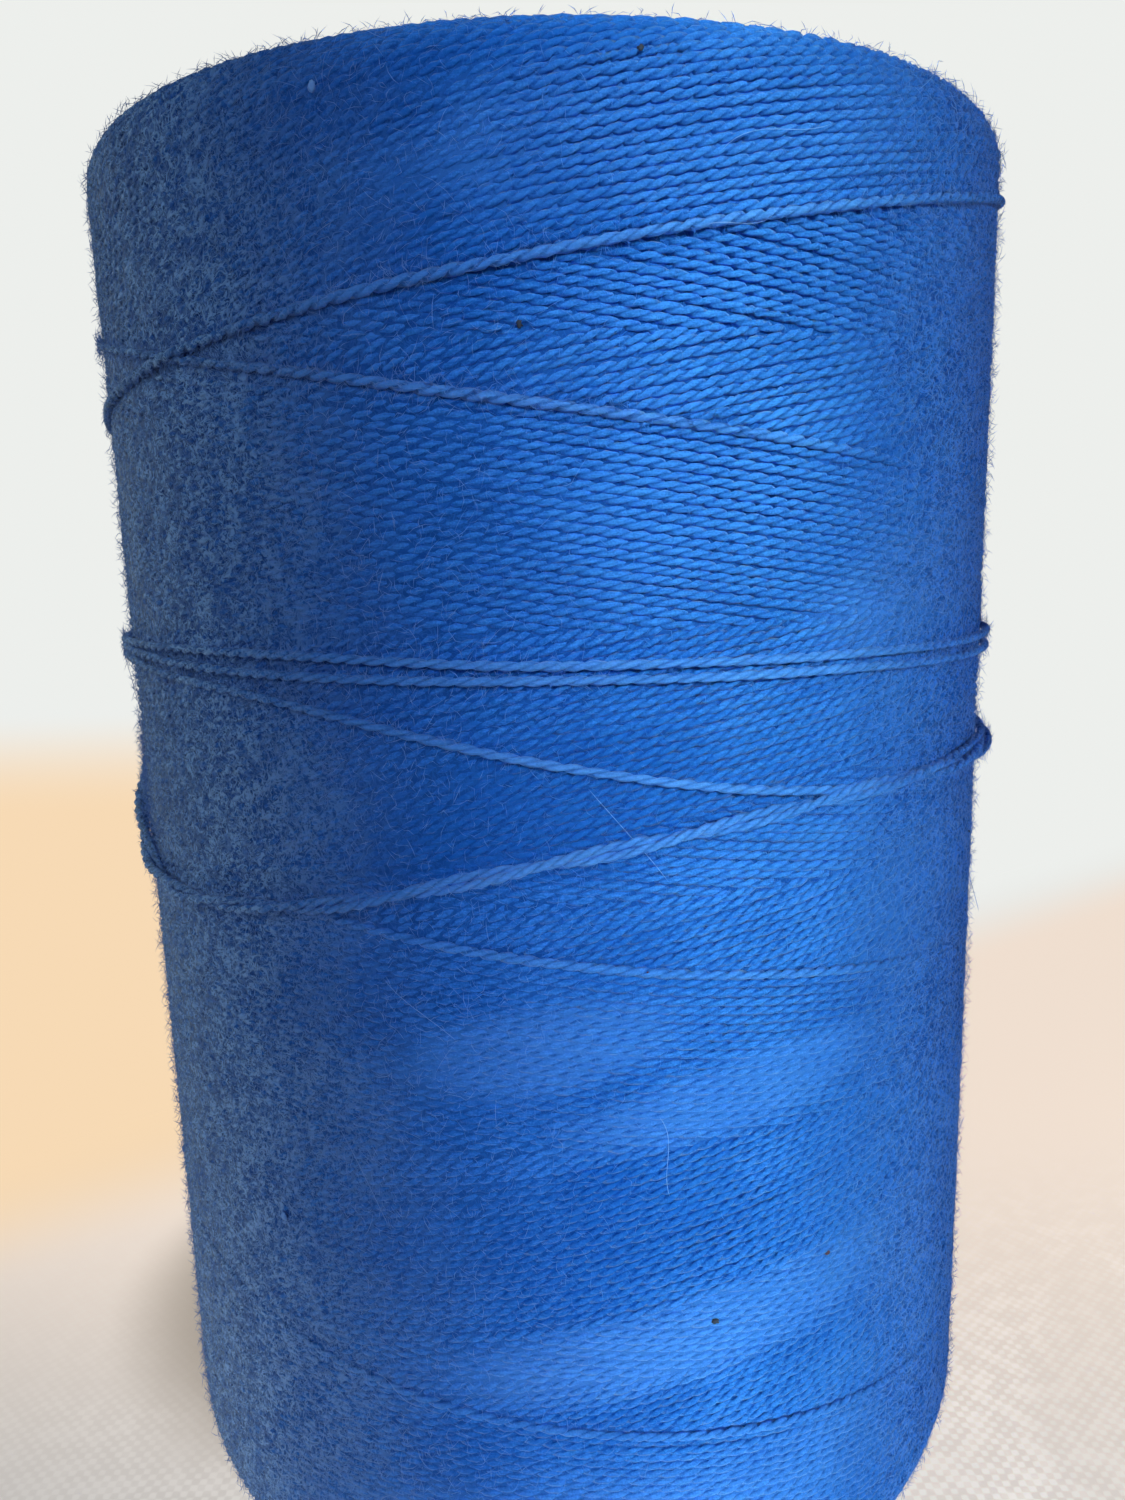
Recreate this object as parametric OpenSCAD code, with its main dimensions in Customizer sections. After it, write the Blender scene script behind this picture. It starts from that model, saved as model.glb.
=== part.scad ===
// Parallel tube of two-ply cotton thread: a spiral wound paper tube that carries a cross-wound
// package of thread, with the loose end of the thread wrapped round the outside.
//
// Lengths are in millimetres and angles in degrees. Z = 0 is the lower end of the tube and +Z runs
// up its axis. Angles start at the front, which is -Y, and grow towards +X.

/* [Paper tube] */
// Diameter of the bore that goes over a spindle or a peg
bore_d = 32; // [20:0.5:44]
// Length of the tube from end to end
tube_length = 127; // [100:1:160]
// Thickness of the smooth inner liner ply
liner_wall = 0.5; // [0.3:0.1:1]
// Thickness of the glued grey body plies
body_wall = 1.6; // [0.8:0.1:2.4]
// Thickness of the parchment ply that the thread grips
parchment_wall = 0.3; // [0.2:0.05:0.6]
// Bare length of tube that stands out at each end of the winding
bare_end = 2.25; // [1:0.25:6]

/* [Winding] */
// Diameter of the inner winding, under the outer turns
core_d = 73.2; // [64:0.2:90]
// Radius of the shoulder at the top of the winding
top_shoulder = 4; // [2:0.5:10]
// Radius of the fuller shoulder at the bottom of the winding
bottom_shoulder = 12; // [4:0.5:14]

/* [Outer turns] */
// Diameter of the thread
thread_d = 0.66; // [0.5:0.02:0.9]
// Clear gap that the outer turns keep where they cross or lie side by side
thread_gap = 0.46; // [0.44:0.01:0.6]
// Distance from the top of the winding to the highest point of the outer turns
top_traverse_end = 2.25; // [1:0.25:8]
// Distance from the bottom of the winding to the lowest point of the outer turns
bottom_traverse_end = 8.7; // [4:0.1:16]
// Whole turns that the thread makes in one stroke up and down again
whole_winds = 6; // [4:2:8]
// Strands of each slope, evenly spaced round the winding
strands = 3; // [2:1:4]
// Arc of the tube over which a stroke turns back
turn_back_deg = 90; // [45:15:105]
// Angle from the front at which the last upward stroke turns back
last_turn_back_deg = 137; // [110:1:160]

/* [Loose end] */
// How far the lower pair of wraps stands off the winding at the left
slack_lift = 1.2; // [0:0.1:3]
// How far the cut end springs away from the winding
end_lift = 1.0; // [0:0.1:3]

/* [Hidden] */

// Glue line left between plies, and between the parchment and the thread
glue_line = 0.05;
// Clearance between the inner winding and the turns that lie on it
seat_gap = 0.03;

// Facets of the round solids
$fn = 96;

liner_r = bore_d / 2;
body_r = liner_r + liner_wall + glue_line;
parchment_r = body_r + body_wall + glue_line;
tube_r = parchment_r + parchment_wall;

winding_bottom = bare_end;
winding_top = tube_length - bare_end;
core_r = core_d / 2;

// A thread is drawn with six sides, a flat one against the winding, and 24 rings to a turn
sides = 6;
rings = 24;
step_deg = 360 / rings;
flat_r = thread_d / 2 * cos(180 / sides);
layer_pitch = thread_d + thread_gap;
first_layer_r = (core_r + seat_gap + flat_r) / cos(step_deg / 2);
loose_end_layer = 2;
loose_end_r = first_layer_r + loose_end_layer * layer_pitch;

// Strokes of the outer turns, counted in turns of the tube from the last turn back at the top
wind_ratio = whole_winds + 1 / strands;
stroke_turns = wind_ratio / 2;
turn_back = turn_back_deg / 360;
high_z = winding_top - top_traverse_end;
low_z = winding_bottom + bottom_traverse_end;
lead = (high_z - low_z) / (stroke_turns - turn_back / 2);

// The thread leaves its stroke at the right, meets the loose end at the back and levels off at the left
right_deg = 90;
back_deg = 180;
left_deg = 270;
slack_start = (360 + right_deg - last_turn_back_deg) / 360;
join = (360 + back_deg - last_turn_back_deg) / 360;
slack_end = (360 + left_deg - last_turn_back_deg) / 360;
outer_rings = round(strands * wind_ratio * rings);
climb_rings = 2;

// Route of the loose end, as depths below the top of the winding at five places across the front:
// left, half left, middle, half right and right. Two wraps lie side by side above and two below,
// with one that slants from the upper pair to the lower, and each lies one thread below the last.
upper_route = [39.8, 39.2, 39.1, 40.4, 40.9];
slant_route = [40.0, 39.8, 42.6, 46.0, 46.2];
lower_route = [48.8, 54.2, 48.2, 46.6, 46.6];
routes = [upper_route, upper_route, slant_route, lower_route, lower_route, [lower_route[0]]];
wraps = [for (w = [0 : len(routes) - 1]) [for (depth = routes[w]) depth + w * layer_pitch]];
front_step = (left_deg - right_deg) / (len(upper_route) - 1);
tail_rings = round((left_deg - back_deg) / step_deg) + rings * (len(wraps) - 1);
// Half of the arc over which the lower pair stands off, and the first wrap that does so
slack_arc = 60;
slack_wrap = 3;

// Height of a point that has fallen along a stroke for some turns from the turn back at its top
function fallen(turns) =
    let (arc = turn_back / 2)
    turns < arc ? lead * turns * turns / (2 * arc)
    : turns <= stroke_turns - arc ? lead * (turns - arc / 2)
    : high_z - low_z - lead * (stroke_turns - turns) * (stroke_turns - turns) / (2 * arc);

// Number of the stroke that a point is in: 0 is the last one down, and odd ones go up
rounding = 1e-9;
function stroke(turns) = floor(turns / stroke_turns + rounding);
function rises(turns) = stroke(turns) % 2 != 0;

// Height of the cross-wound thread: each stroke mirrors the one before it
function stroke_z(turns) =
    let (along = turns - stroke(turns) * stroke_turns)
    high_z - fallen(rises(turns) ? stroke_turns - along : along);

// Cubic from height a, slope m to height b, slope n over a span
function hermite(t, span, a, m, b, n) =
    let (t2 = t * t, t3 = t2 * t)
    (2 * t3 - 3 * t2 + 1) * a + (t3 - 2 * t2 + t) * span * m
    + (3 * t2 - 2 * t3) * b + (t3 - t2) * span * n;

// Height where the thread slackens out of its last stroke into the first wrap
function slack_z(turns) =
    hermite((turns - slack_start) / (slack_end - slack_start), slack_end - slack_start,
        stroke_z(slack_start), -lead, winding_top - upper_route[0], 0);

// Depths of all wraps in one line, five to a turn at the front and then on to the next wrap
depths = [for (wrap = wraps) each wrap];
depth_deg = [
    for (w = [0 : len(wraps) - 1])
        for (k = [0 : len(wraps[w]) - 1])
            w * 360 + k * front_step
];

function depth_slope(k) =
    k == 0 || k == len(depths) - 1 ? 0
    : (depths[k + 1] - depths[k - 1]) / (depth_deg[k + 1] - depth_deg[k - 1]);

// Height of the loose end, at an angle counted from where it levels off at the left
function wrap_z(deg) =
    let (
        k = min(len(depths) - 2, len([for (d = depth_deg) if (d <= deg) d]) - 1),
        span = depth_deg[k + 1] - depth_deg[k]
    )
    winding_top - hermite((deg - depth_deg[k]) / span, span,
        depths[k], depth_slope(k), depths[k + 1], depth_slope(k + 1));

// Heights of the rings of the outer turns, from the oldest to the join at the back
outer_turn_at = [for (i = [0 : outer_rings]) join - (outer_rings - i) / rings];
outer_z = [for (turns = outer_turn_at) turns > slack_start ? slack_z(turns) : stroke_z(turns)];

// A strand passes over the older strand of the other slope that is nearest, and under a newer one
function over(i) =
    let (
        others = [
            for (j = [i % rings : rings : outer_rings])
                if (rises(outer_turn_at[j]) != rises(outer_turn_at[i])) j
        ],
        nearest = min([for (j = others) abs(outer_z[j] - outer_z[i])])
    )
    len([for (j = others) if (j < i && abs(outer_z[j] - outer_z[i]) == nearest) j]) > 0 ? 1 : 0;

// Layer of a ring: the last rings climb on to the layer of the loose end
function layer(i) = max(over(i), loose_end_layer - (outer_rings - i) / climb_rings);

outer_path = [
    for (i = [0 : outer_rings])
        let (deg = back_deg - (outer_rings - i) * step_deg, r = first_layer_r + layer(i) * layer_pitch)
        [r * sin(deg), -r * cos(deg), outer_z[i]]
];

// Rise of the loose end off the winding: the slack at the left, and the cut end
function lift(deg) =
    let (
        slack_at = round(deg / 360),
        off = abs(deg - 360 * slack_at),
        slackness = slack_at >= slack_wrap && off < slack_arc ? pow(cos(off * 90 / slack_arc), 2) : 0,
        end = deg > 360 * (len(wraps) - 1) - step_deg / 2 ? end_lift : 0
    )
    slack_lift * slackness + end;

tail_path = [
    for (i = [0 : tail_rings])
        let (
            turned = i * step_deg + back_deg - left_deg,
            z = turned < 0 ? slack_z(slack_end + turned / 360) : wrap_z(turned),
            r = loose_end_r + lift(turned)
        )
        [r * sin(turned + left_deg), -r * cos(turned + left_deg), z]
];

function unit(v) = v / norm(v);

// Six corners round a point of the path, square to the direction, with a flat towards the axis
function ring_points(point, direction) =
    let (
        outward = unit([point[0], point[1], 0]),
        n = unit(outward - (outward * direction) * direction),
        b = cross(direction, n)
    )
    [
        for (k = [0 : sides - 1])
            let (a = (k + 0.5) * 360 / sides)
            point + thread_d / 2 * (cos(a) * n + sin(a) * b)
    ];

// Direction at the join, shared by the two threads that meet there: level round, falling as the slack does
slope_step = 0.001;
join_slope = (slack_z(join + slope_step) - slack_z(join - slope_step)) / (2 * slope_step);
join_run = 2 * PI * loose_end_r;
join_direction = unit([join_run * cos(back_deg), join_run * sin(back_deg), join_slope]);

// Rings along a path, with a straight run of one diameter at each end
function tube_rings(path, start, finish) =
    let (last = len(path) - 1)
    [
        ring_points(path[0], start),
        ring_points(path[0] + thread_d * start, start),
        for (i = [1 : last - 1]) ring_points(path[i], unit(path[i + 1] - path[i - 1])),
        ring_points(path[last] - thread_d * finish, finish),
        ring_points(path[last], finish)
    ];

// One unbroken tube of triangles through the rings, closed at both ends
module thread(path, start, finish) {
    loops = tube_rings(path, start, finish);
    points = [for (loop = loops) each loop];
    last = len(loops) - 1;
    skin = [
        for (i = [0 : last - 1])
            for (k = [0 : sides - 1])
                let (a = i * sides + k, b = i * sides + (k + 1) % sides)
                each [[a, a + sides, b], [b, a + sides, b + sides]]
    ];
    caps = [
        for (k = [1 : sides - 2])
            each [[0, k, k + 1], [last * sides, last * sides + k + 1, last * sides + k]]
    ];
    polyhedron(points = points, faces = concat(skin, caps));
}

// Points along a path, four to each straight stretch
gap_parts = 4;
function fine(path) = [
    for (i = [0 : len(path) - 2])
        for (k = [0 : gap_parts - 1])
            path[i] + (path[i + 1] - path[i]) * k / gap_parts
];

// Least clear gap of a thread to its own other turns, between points that lie at about the same angle
function least_gap(path) =
    let (points = fine(path), turn = rings * gap_parts)
    min([
        for (i = [0 : len(points) - 1])
            for (j = [i + turn - gap_parts / 2 : turn : len(points) - 1])
                for (near = [0 : gap_parts])
                    if (j + near < len(points)) norm(points[i] - points[j + near])
    ]) - thread_d;

echo(str("Least gap of the outer turns to themselves: ", least_gap(outer_path), " mm"));
echo(str("Least gap of the loose end to itself: ", least_gap(tail_path), " mm"));

module ply(inner_r, wall) {
    difference() {
        cylinder(h = tube_length, r = inner_r + wall);
        translate([0, 0, -1])
            cylinder(h = tube_length + 2, r = inner_r);
    }
}

// Smooth brown ply that lines the bore
module tube_liner() {
    color("peru") ply(liner_r, liner_wall);
}

// Grey body plies that give the tube its stiffness
module tube_body() {
    color("tan") ply(body_r, body_wall);
}

// Tough outer ply under the first layer of thread
module tube_parchment() {
    color("burlywood") ply(parchment_r, parchment_wall);
}

module quarter_disc(r) {
    intersection() {
        circle(r);
        square(r);
    }
}

// Half section of the inner winding, from the tube out to the face that the outer turns lie on
module core_section() {
    inner_r = tube_r + glue_line;
    straight_bottom = winding_bottom + bottom_shoulder;
    straight_top = winding_top - top_shoulder;
    translate([inner_r, straight_bottom])
        square([core_r - inner_r, straight_top - straight_bottom]);
    translate([inner_r, winding_bottom])
        square([core_r - bottom_shoulder - inner_r, bottom_shoulder]);
    translate([inner_r, straight_top])
        square([core_r - top_shoulder - inner_r, top_shoulder]);
    translate([core_r - bottom_shoulder, straight_bottom])
        mirror([0, 1])
            quarter_disc(bottom_shoulder);
    translate([core_r - top_shoulder, straight_top])
        quarter_disc(top_shoulder);
}

// Inner layers of thread, as one body of revolution with rounded shoulders
module thread_core() {
    color("mediumblue") rotate_extrude() core_section();
}

// Outermost strokes up and down the winding, each lying over the older ones
module outer_turns() {
    color("royalblue") thread(outer_path, unit(outer_path[1] - outer_path[0]), join_direction);
}

// Loose end of the same thread, wrapped round by hand
module tail_wraps() {
    last = len(tail_path) - 1;
    color("cornflowerblue") thread(tail_path, join_direction, unit(tail_path[last] - tail_path[last - 1]));
}

tube_liner();
tube_body();
tube_parchment();
thread_core();
outer_turns();
tail_wraps();
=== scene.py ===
import math

import bmesh
import bpy
import numpy as np
from mathutils import Matrix, Vector, noise


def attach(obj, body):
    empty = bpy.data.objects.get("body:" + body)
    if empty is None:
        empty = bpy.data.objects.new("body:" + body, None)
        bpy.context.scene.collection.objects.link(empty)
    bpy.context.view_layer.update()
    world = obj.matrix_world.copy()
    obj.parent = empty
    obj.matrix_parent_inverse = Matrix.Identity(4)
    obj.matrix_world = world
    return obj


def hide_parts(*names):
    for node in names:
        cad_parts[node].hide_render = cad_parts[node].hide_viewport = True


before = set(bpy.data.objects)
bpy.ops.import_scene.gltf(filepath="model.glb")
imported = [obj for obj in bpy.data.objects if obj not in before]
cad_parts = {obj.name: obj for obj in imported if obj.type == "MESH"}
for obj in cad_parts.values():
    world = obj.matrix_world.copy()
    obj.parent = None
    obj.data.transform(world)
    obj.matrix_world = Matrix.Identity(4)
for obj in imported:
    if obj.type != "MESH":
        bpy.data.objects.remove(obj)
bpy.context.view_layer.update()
scene = bpy.context.scene
MM = 0.001

# -------------------------------------------------------- Camera
# Close to the tube and a little below its top, looking slightly down, so that the lower end runs
# out of the frame.
LONG_SIDE_PX = 1500
SHORT_SIDE_PX = 1125
FOCAL_PX = 1213
AXIS_PX = 559.9
SENSOR_MM = 36
CAMERA_PLACE = (0, -0.1151, 0.09665)
PITCH_DOWN_DEG = 11.97
ROLL_DEG = -1.63
lens = bpy.data.cameras.new("camera")
lens.sensor_fit = "VERTICAL"
lens.sensor_height = SENSOR_MM
lens.lens = SENSOR_MM * FOCAL_PX / LONG_SIDE_PX
lens.shift_x = (SHORT_SIDE_PX / 2 - AXIS_PX) / LONG_SIDE_PX
lens.clip_start = 0.005
camera = bpy.data.objects.new("camera", lens)
camera_pitch = Matrix.Rotation(math.radians(90 - PITCH_DOWN_DEG), 4, "X")
camera_roll = Matrix.Rotation(math.radians(ROLL_DEG), 4, "Z")
camera.matrix_world = Matrix.Translation(CAMERA_PLACE) @ camera_pitch @ camera_roll
scene.collection.objects.link(camera)
scene.camera = camera
scene.view_settings.view_transform = "Standard"


# -------------------------------------------------------- Studio light and background
# Three narrow upright strip lights from the front and right, a soft fill from the left, the glow of
# the white cloth on the foot, two soft lights from behind for the fuzz, and an even pale room.
class Tone:
    """A socket of a material. Sums on it become Math nodes, and node() makes any other node."""

    def __init__(self, tree, socket=None):
        self.tree = tree
        self.socket = socket

    def node(self, kind, settings=None, inputs=None, output=0):
        made = self.tree.nodes.new(kind)
        for name, value in (settings or {}).items():
            if name == "stops":
                while len(made.color_ramp.elements) < len(value):
                    made.color_ramp.elements.new(0.5)
                for element, (place, colour) in zip(made.color_ramp.elements, value):
                    element.position = place
                    element.color = colour
            else:
                setattr(made, name, value)
        for name, value in (inputs or {}).items():
            if isinstance(value, Tone):
                self.tree.links.new(value.socket, made.inputs[name])
            else:
                made.inputs[name].default_value = value
        return Tone(self.tree, made.outputs[output] if made.outputs else None)

    def math(self, operation, *values):
        return self.node("ShaderNodeMath", {"operation": operation}, dict(enumerate(values)))

    def __add__(self, other):
        return self.math("ADD", self, other)

    __radd__ = __add__

    def __sub__(self, other):
        return self.math("SUBTRACT", self, other)

    def __mul__(self, other):
        return self.math("MULTIPLY", self, other)

    __rmul__ = __mul__

    def band(self, low, high, start=0.0, end=1.0):
        """Smooth rise from start to end while the value goes from low to high."""
        edges = {"From Min": low, "From Max": high, "To Min": start, "To Max": end}
        return self.node(
            "ShaderNodeMapRange", {"interpolation_type": "SMOOTHSTEP"}, {"Value": self, **edges}
        )

    def blend(self, first, second):
        """Colour that goes from first to second with the value."""
        return self.node("ShaderNodeMix", {"data_type": "RGBA"}, {0: self, 6: first, 7: second}, 2)


def new_material(name):
    material = bpy.data.materials.new(name)
    material.use_nodes = True
    material.node_tree.nodes.clear()
    return material, Tone(material.node_tree)


def finish_surface(start, shader):
    start.node("ShaderNodeOutputMaterial", None, {"Surface": shader})


def seen_directly(start):
    """One where a ray comes from the camera, a mirror or glass, nought where it lights a piece."""
    path = start.node("ShaderNodeLightPath")
    sockets = path.socket.node.outputs
    seen = [Tone(start.tree, sockets[n]) for n in ("Is Camera Ray", "Is Glossy Ray", "Is Transmission Ray")]
    return seen[0].math("MAXIMUM", seen[0], seen[1].math("MAXIMUM", seen[1], seen[2]))


ROOM_LIGHT = 0.03
ROOM_COLOUR = (0.93, 0.97, 1.0, 1)
ROOM_SEEN = (0.845, 0.863, 0.84, 1)
world = bpy.data.worlds.new("room")
scene.world = world
world.use_nodes = True
world.node_tree.nodes.clear()
room = Tone(world.node_tree)
room_lit = room.node("ShaderNodeBackground", None, {"Color": ROOM_COLOUR, "Strength": ROOM_LIGHT})
room_seen = room.node("ShaderNodeBackground", None, {"Color": ROOM_SEEN, "Strength": 1.0})
room_mix = room.node("ShaderNodeMixShader", None, {0: seen_directly(room), 1: room_lit, 2: room_seen})
room.node("ShaderNodeOutputWorld", None, {"Surface": room_mix})


def place_light(name, turn_deg, distance, height, aim_height, size, energy, colour, spread_deg):
    """Area light at an angle round the tube from the front, aimed at the tube's axis."""
    data = bpy.data.lights.new(name, "AREA")
    data.shape = "RECTANGLE"
    data.size, data.size_y = size
    data.energy = energy
    data.color = colour
    data.spread = math.radians(spread_deg)
    light = bpy.data.objects.new(name, data)
    turn = math.radians(turn_deg)
    place = Vector((distance * math.sin(turn), -distance * math.cos(turn), height))
    aim = Vector((0, 0, aim_height)) - place
    light.matrix_world = Matrix.Translation(place) @ aim.to_track_quat("-Z", "Y").to_matrix().to_4x4()
    light.visible_camera = False
    scene.collection.objects.link(light)


STRIP = (0.02, 0.26)
WIDE_STRIP = (0.03, 0.26)
PANEL = (0.3, 0.4)
CLOTH_PANEL = (0.20, 0.04)
CLOTH_GLOW = (1.0, 0.95, 0.86)
# Name, turn in degrees, distance, height, height aimed at, size, watts, colour and spread in degrees
LIGHTS = (
    ("strip_light_1", 6, 0.34, 0.18, 0.066, STRIP, 0.0099, (0.62, 0.79, 1.0), 8),
    ("strip_light_2", 21, 0.34, 0.18, 0.066, STRIP, 0.0220, (0.78, 1.0, 0.67), 8),
    ("side_strip", 50, 0.34, 0.18, 0.066, WIDE_STRIP, 0.0140, (0.44, 0.76, 1.0), 10),
    ("left_fill", -40, 0.5, 0.30, 0.07, PANEL, 0.286, (0.64, 0.88, 1.0), 120),
    ("cloth_glow_left", -36, 0.085, 0.002, 0.008, CLOTH_PANEL, 0.021, CLOTH_GLOW, 150),
    ("cloth_glow_right", 68, 0.10, 0.002, 0.030, CLOTH_PANEL, 0.032, CLOTH_GLOW, 150),
    ("back_light_left", 238, 0.5, 0.16, 0.07, PANEL, 0.23, (1.0, 0.90, 0.72), 120),
    ("back_light_right", 122, 0.5, 0.16, 0.07, PANEL, 0.16, (1.0, 0.96, 0.86), 120),
)
for light in LIGHTS:
    place_light(*light)

FLOOR_BACK = 0.46
FLOOR_HALF = 0.9
floor_bm = bmesh.new()
bmesh.ops.create_grid(floor_bm, x_segments=1, y_segments=1, size=1)
bmesh.ops.scale(floor_bm, vec=(FLOOR_HALF, FLOOR_BACK, 1), verts=floor_bm.verts)
floor_mesh = bpy.data.meshes.new("floor")
floor_bm.to_mesh(floor_mesh)
floor_bm.free()
floor = bpy.data.objects.new("floor", floor_mesh)
scene.collection.objects.link(floor)

# White cotton cloth, with a fine plain weave, painted shade for low folds, painted shade at its
# left front and a painted shadow at the tube's foot; beyond its far edge the table goes pale and warm
CLOTH = (0.96, 0.915, 0.865, 1)
CLOTH_SHADE = (0.68, 0.63, 0.585, 1)
CLOTH_PAINTED_SHADE = (0.40, 0.405, 0.41, 1)
CLOTH_WARM = (0.97, 0.82, 0.70, 1)
TABLE_WARM = (0.93, 0.70, 0.46, 1)
TABLE_PALE = (0.845, 0.863, 0.84, 1)
FOLD_SHADE = (0.66, 0.60, 0.545, 1)
FOOT_SHADE = (0.30, 0.245, 0.19, 1)
FLOOR_DIM = (0.35, 0.33, 0.31, 1)
FLOOR_GLOW = 0.85
THREADS_PER_M = 1300
SLUB_SCALE = 420.0
FOLD_SCALE = 26.0
FOOT_SHADE_BACK_LEFT = 0.022
FOOT_SHADE_REACH = (0.037, 0.024)
CLOTH_EDGE_SLOPE = 0.627
CLOTH_EDGE = (0.066, 0.108)
cloth, start = new_material("cotton_cloth")
place = start.node("ShaderNodeTexCoord", output=3)
axes = start.node("ShaderNodeSeparateXYZ", None, {0: place})
across = Tone(start.tree, axes.socket.node.outputs["X"])
away = Tone(start.tree, axes.socket.node.outputs["Y"])
warp = start.math("SINE", across * (THREADS_PER_M * math.pi))
weft = start.math("SINE", away * (THREADS_PER_M * math.pi))
weave = (warp * weft).band(-1, 1)
slub = start.node("ShaderNodeTexNoise", None, {"Vector": place, "Scale": SLUB_SCALE, "Detail": 3.0})
weave_shown = away.band(0.045, -0.02, 0.25, 0.75)
cloth_tint = weave_shown * weave.band(0.25, 0.95) + 0.5 * slub.band(0.35, 0.65)
cloth_colour = cloth_tint.band(0.1, 1.0).blend(CLOTH_SHADE, CLOTH)
# Painted shade of low folds: the floor stays flat, and only its colour darkens in long soft patches
folds = start.node(
    "ShaderNodeTexNoise", None, {"Vector": place, "Scale": FOLD_SCALE, "Detail": 1.0, "Distortion": 0.8}
)
cloth_colour = folds.band(0.44, 0.60, 0.0, 0.50).blend(cloth_colour, FOLD_SHADE)
# Painted shadow of the tube on the cloth, centred to its back left
from_right = across + FOOT_SHADE_BACK_LEFT
from_front = away - FOOT_SHADE_BACK_LEFT
foot_away = start.math("SQRT", from_right * from_right + from_front * from_front)
foot_shade = foot_away.band(*FOOT_SHADE_REACH, 0.0, 0.75)
edge = (away - CLOTH_EDGE_SLOPE * across).band(*CLOTH_EDGE)
leftness = across.band(-0.02, 0.10)
beyond = leftness.blend(TABLE_WARM, TABLE_PALE)
haze = away.band(0.26, 0.46)
beyond = haze.blend(beyond, TABLE_PALE)
# Painted shade: the cloth goes darker and greyer towards its left front, beside the tube
painted_shade_left = (across + 0.5 * away).band(0.02, -0.10)
cloth_colour = painted_shade_left.blend(cloth_colour, CLOTH_PAINTED_SHADE)
cloth_colour = away.band(-0.04, 0.06).blend(cloth_colour, CLOTH_WARM)
cloth_colour = foot_shade.blend(cloth_colour, FOOT_SHADE)
floor_colour = edge.blend(cloth_colour, beyond)
floor_diffuse = start.node("ShaderNodeBsdfDiffuse", None, {"Color": floor_colour})
floor_glow = start.node("ShaderNodeEmission", None, {"Color": floor_colour, "Strength": FLOOR_GLOW})
floor_dim = start.node("ShaderNodeBsdfDiffuse", None, {"Color": FLOOR_DIM})
floor_shown = start.node("ShaderNodeAddShader", None, {0: floor_glow, 1: floor_dim})
floor_far = start.node("ShaderNodeEmission", None, {"Color": beyond, "Strength": 1.0})
floor_shown = start.node("ShaderNodeMixShader", None, {0: edge, 1: floor_shown, 2: floor_far})
seen = seen_directly(start)
finish_surface(start, start.node("ShaderNodeMixShader", None, {0: seen, 1: floor_diffuse, 2: floor_shown}))
floor.data.materials.append(cloth)

# -------------------------------------------------------- Paper tube
# Three spiral-wound plies of kraft paper and board: a smooth liner, grey-brown body plies and a
# parchment ply on the outside, cut square at both ends after gluing.
LINER_COLOURS = ((0.30, 0.185, 0.095, 1), (0.40, 0.26, 0.145, 1))
BODY_COLOURS = ((0.27, 0.205, 0.145, 1), (0.36, 0.285, 0.21, 1))
PARCHMENT_COLOURS = ((0.50, 0.37, 0.22, 1), (0.62, 0.48, 0.31, 1))
STRIP_WIDTH = 0.055
SEAM_WIDTH = 0.008
CLOUD_SCALE = 90.0
FIBRE_SQUASH = (900, 900, 2600)
FLECK_SCALE = 900.0
PAPER_RELIEF = 0.00006


def paper(name, colours, roughness, seam_depth):
    """Paper with short fibres, faint cloudiness and the butted edges of the wound strip."""
    material, start = new_material(name)
    place = start.node("ShaderNodeTexCoord", output=3)
    axes = start.node("ShaderNodeSeparateXYZ", None, {0: place})
    sockets = axes.socket.node.outputs
    x, y, z = [Tone(start.tree, sockets[n]) for n in ("X", "Y", "Z")]
    turn = start.math("ARCTAN2", y, x)
    strips_up = z * (1 / STRIP_WIDTH) + turn * (1 / (2 * math.pi))
    wound = start.math("FRACT", strips_up + 5)
    seam = wound.band(0.0, SEAM_WIDTH) * wound.band(1.0, 1 - SEAM_WIDTH)
    cloud = start.node("ShaderNodeTexNoise", None, {"Vector": place, "Scale": CLOUD_SCALE, "Detail": 4.0})
    squash = start.node("ShaderNodeMapping", None, {"Vector": place, "Scale": FIBRE_SQUASH})
    fibre = start.node("ShaderNodeTexNoise", None, {"Vector": squash, "Scale": 1.0, "Detail": 3.0})
    speck = start.node("ShaderNodeTexVoronoi", None, {"Vector": place, "Scale": FLECK_SCALE})
    fleck = speck.band(0.05, 0.12)
    share = 0.5 * cloud.band(0.3, 0.7) + 0.5 * fibre.band(0.3, 0.7)
    base = (share * (0.4 + 0.6 * fleck) * (0.6 + 0.4 * seam)).blend(*colours)
    rough = fibre.band(0.3, 0.7, roughness - 0.06, roughness + 0.06)
    height = fibre + 0.4 * cloud + seam * seam_depth
    bump = start.node("ShaderNodeBump", None, {"Height": height, "Strength": 0.5, "Distance": PAPER_RELIEF})
    surface = {"Base Color": base, "Roughness": rough, "Normal": bump}
    finish_surface(start, start.node("ShaderNodeBsdfPrincipled", None, surface))
    return material


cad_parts["tube_liner"].material_slots[0].material = paper("liner_paper", LINER_COLOURS, 0.62, 1.5)
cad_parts["tube_body"].material_slots[0].material = paper("body_board", BODY_COLOURS, 0.88, 0.0)
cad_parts["tube_parchment"].material_slots[0].material = paper(
    "parchment_paper", PARCHMENT_COLOURS, 0.55, 1.0
)

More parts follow.
